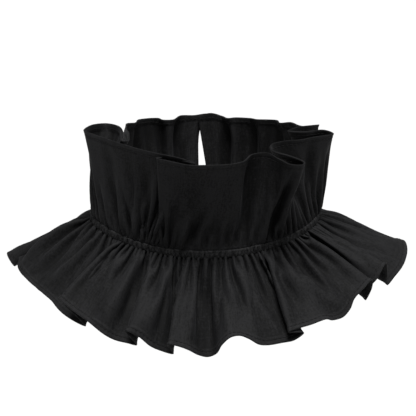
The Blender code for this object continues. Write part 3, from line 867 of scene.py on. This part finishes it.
def black_cotton(name, dark, light, hem_wear_and_highlight):
    """Plain-woven black cotton: fine weave, slubs across the strip, ridges painted paler and troughs darker
    (wear and painted light and shade), and a hem edge painted paler (wear and a painted highlight).
    """
    cloth = Finish(name)
    place = cloth.node("ShaderNodeUVMap", {"uv_map": "cloth"})
    solid = cloth.node("ShaderNodeTexCoord", {}, {}, "Object")
    slubs = cloth.noise(cloth.stretched(place, 1100.0, 110.0), 1.0, 3.0, 0.65)
    wefts = cloth.noise(cloth.stretched(place, 130.0, 1300.0), 1.0, 2.0, 0.6)
    mottle = cloth.noise(solid, 70.0, 4.0, 0.6)
    lint = cloth.noise(solid, 900.0, 3.0, 0.85)
    threads = {"Vector": place, "Scale": WEAVE_SCALE}
    warp_threads = cloth.node("ShaderNodeTexWave", {"bands_direction": "X"}, threads)
    weft_threads = cloth.node("ShaderNodeTexWave", {"bands_direction": "Y"}, threads)
    weave = warp_threads * 0.5 + weft_threads * 0.5
    # The ridges attribute paints ridges paler and troughs darker, partly for wear and partly as painted light
    # and shade
    ridges = cloth.node("ShaderNodeAttribute", {"attribute_name": "ridges"}, {}, 2)
    grain = slubs * 0.25 + wefts * 0.13 + mottle * 0.17 + lint * 0.45
    tone = (grain - GRAIN_MIDDLE) * GRAIN_CONTRAST + ridges * RIDGE_WEAR_AND_SHADE_TONE
    colour = cloth.blended(tone.clamped(), dark, light)
    split = cloth.node("ShaderNodeSeparateXYZ", {}, {"Vector": place}, 1)
    # The hem edge is painted paler, partly for wear and partly as a painted highlight along its fold
    starts, full = hem_wear_and_highlight
    edge = ((split - starts) * (1.0 / (full - starts))).clamped()
    worn_and_highlit = (edge ** 3.0) * (mottle * 1.2 + lint * 0.6 - 0.2)
    colour = cloth.blended((worn_and_highlit * 0.15).clamped(), colour, WORN_AND_HIGHLIT_COTTON)
    cloth.put(cloth.shader.inputs["Base Color"], colour)
    rough = cloth.between(mottle, 0.66, 0.86) + lint * 0.06
    cloth.put(cloth.shader.inputs["Roughness"], rough.clamped())
    cloth.put(cloth.shader.inputs["Sheen Weight"], 0.03)
    cloth.put(cloth.shader.inputs["Sheen Roughness"], 0.45)
    cloth.put(cloth.shader.inputs["Sheen Tint"], (0.55, 0.56, 0.6, 1.0))
    cloth.put(cloth.shader.inputs["Specular IOR Level"], 0.12)
    height = weave * 0.3 + slubs * 0.9 + wefts * 0.35 + lint * 0.6
    bump = cloth.node("ShaderNodeBump", {}, {"Strength": 0.55, "Distance": WEAVE_DEPTH, "Height": height})
    cloth.put(cloth.shader.inputs["Normal"], bump)
    return cloth.material


def black_thread(name):
    thread = Finish(name)
    solid = thread.node("ShaderNodeTexCoord", {}, {}, "Object")
    twist = thread.noise(solid, 2500.0, 1.0, 0.5)
    colour = thread.blended(twist, (0.002, 0.002, 0.002, 1.0), (0.009, 0.009, 0.0095, 1.0))
    thread.put(thread.shader.inputs["Base Color"], colour)
    thread.put(thread.shader.inputs["Roughness"], thread.between(twist, 0.7, 0.85))
    thread.put(thread.shader.inputs["Specular IOR Level"], 0.2)
    return thread.material


def pale_card(name):
    card = Finish(name)
    solid = card.node("ShaderNodeTexCoord", {}, {}, "Object")
    grain = card.noise(solid, 30.0, 3.0, 0.5)
    colour = card.blended(grain, (0.50, 0.50, 0.50, 1.0), (0.53, 0.53, 0.527, 1.0))
    card.put(card.shader.inputs["Base Color"], colour)
    card.put(card.shader.inputs["Roughness"], 0.9)
    return card.material


# ---------------------------------------------------------------------------------------------- the collar


def make_band(material, thread):
    """The band: a tape folded round the seam on the neck ring, puckered along its two rows of stitching."""
    chance = np.random.RandomState(5)
    azimuths = np.linspace(OPENING_LEFT_AZIMUTH, OPENING_RIGHT_AZIMUTH, BAND_COLUMNS)
    along = arc_lengths(neck_ring(azimuths))
    pucker = sum(depth * pleats(chance, along, spacing, uneven) for depth, spacing, uneven in BAND_PUCKERS)
    sway = BAND_SWAY * wandering(chance, along, 9 * MM)
    order = np.arange(BAND_COLUMNS)
    ease = np.minimum(1.0, np.minimum(order, order[::-1]) / BAND_END)
    half_wide = BAND_THICKNESS / 2 - CLOTH / 2
    half_high = BAND_HEIGHT / 2 - CLOTH / 2 - 0.1 * MM
    rows, outs = [], []
    for t in np.radians(np.linspace(250, -70, 30)):
        out = math.copysign(abs(math.cos(t)) ** 0.55, math.cos(t))
        up = math.copysign(abs(math.sin(t)) ** 0.75, math.sin(t)) * half_high
        groove = BAND_GROOVE * math.exp(-(((abs(up) - BAND_STITCH_LINE) / STITCH_GROOVE) ** 2))
        side = (1.0 if out > 0 else 0.3) * math.cos(up / BAND_HEIGHT * math.pi) ** 1.5
        wide = out * (half_wide - groove) * (0.75 + 0.25 * ease) + pucker * side * ease
        rows.append(neck_ring(azimuths, out=wide, up=up * (0.75 + 0.25 * ease) + sway * ease))
        outs.append((out, up))
    grid = np.array(rows)
    distances = arc_lengths(grid[:, BAND_COLUMNS // 2])
    band = cloth_shell("band_tape", grid, distances, material, 0)
    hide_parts("neck_band")
    lines = []
    for level in (BAND_STITCH_LINE, -BAND_STITCH_LINE):
        row = min((abs(up - level), r) for r, (out, up) in enumerate(outs) if out > 0)[1]
        outward = -normals_of(grid)[row]
        lines.append(stitch_points(grid[row] + outward * CLOTH / 2, outward, *BAND_STITCHES, STITCH_RISE))
    points, faces = stitch_row(lines, THREAD_RADIUS)
    stitches = add_mesh("band_stitches", points, faces, thread)


def make_strip(name, node, grid, distances, material, thread, hem_side):
    strip = cloth_shell(name, grid, distances, material, hem_side)
    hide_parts(node)
    line, outward = row_at(grid, distances, distances[-1] - HEM_STITCH_LINE)
    lift = CLOTH / 2 - 0.1 * MM
    turned = lift + HEM_CLOTH - CLOTH
    lines = []
    for side in (1, -1):
        away = outward * side
        height = turned if side == hem_side else lift
        lines.append(stitch_points(line + away * height, away, *HEM_STITCHES, STITCH_RISE))
    points, faces = stitch_row(lines, THREAD_RADIUS)
    stitches = add_mesh(name + "_hem_stitches", points, faces, thread)


def make_studio():
    """A pale floor below the collar, soft light from above, and the camera."""
    scene = bpy.context.scene
    bpy.ops.object.select_all(action="DESELECT")
    bpy.ops.mesh.primitive_plane_add(size=14, location=(0, 0, CAD_LOW.z - FLOOR_BELOW))
    floor = bpy.context.object
    floor.name = "studio_floor"
    floor.data.materials.append(pale_card("pale card"))
    bpy.ops.object.transform_apply(location=True)
    floor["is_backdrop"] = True

    world = bpy.data.worlds.new("white studio")
    world.use_nodes = True
    background = world.node_tree.nodes["Background"]
    background.inputs["Color"].default_value = (1.0, 1.0, 1.0, 1.0)
    background.inputs["Strength"].default_value = ROOM_LIGHT
    scene.world = world
    scene.view_settings.view_transform = "Standard"

    for name, power, spread, shines_from in LAMPS:
        light = bpy.data.lights.new(name, "SUN")
        light.energy = power
        light.angle = spread
        lamp = bpy.data.objects.new(name, light)
        lamp.rotation_euler = Vector(shines_from).to_track_quat("Z", "Y").to_euler()
        scene.collection.objects.link(lamp)

    camera = bpy.data.cameras.new("camera")
    camera.lens = CAMERA_LENS
    holder = bpy.data.objects.new("camera", camera)
    look = math.radians(CAMERA_ELEVATION)
    across, up = CAMERA_AIM
    aim = Vector((across, up * math.sin(look), up * math.cos(look)))
    holder.location = aim - CAMERA_DISTANCE * Vector((0, math.cos(look), -math.sin(look)))
    holder.rotation_euler = (math.pi / 2 - look, 0, 0)
    scene.collection.objects.link(holder)
    scene.camera = holder


def main():
    make_studio()
    cotton = black_cotton("black cotton", COTTON_DARK, COTTON_LIGHT, HEM_WEAR_AND_HIGHLIGHT)
    tape = black_cotton("black cotton tape", TAPE_DARK, TAPE_LIGHT, NO_HEM_WEAR_OR_HIGHLIGHT)
    thread = black_thread("black thread")
    make_band(tape, thread)

    levels = strip_levels(FRILL_WIDTH)
    shares = levels / FRILL_WIDTH
    grid = frill_grid(shares)
    pressed = creased(grid, shares, FRILL_CREASES)
    grid = gathered(pressed, shares, lambda share: FRILL_FULLNESS * smoothly(0.0, 0.07, share), 11)
    grid = with_free_edge(grid, shares, frill_grid(shares[-1:])[0])
    grid = settled(grid, pressed, levels, ROUNDS)
    make_strip(
        "frill", "standing_frill", grid, levels, cotton, thread, -1,
    )

    levels = strip_levels(FLOUNCE_WIDTH)
    shares = levels / FLOUNCE_WIDTH
    grid = flounce_grid(shares)
    pressed = creased(grid, shares, FLOUNCE_CREASES)
    grid = gathered(pressed, shares, lambda share: FLOUNCE_FULLNESS * smoothly(0.0, 0.07, share), 23)
    grid = with_free_edge(grid, shares, flounce_grid(shares[-1:])[0])
    grid = settled(grid, pressed, levels, ROUNDS)
    make_strip(
        "flounce", "shoulder_flounce", grid, levels, cotton, thread, -1,
    )


main()
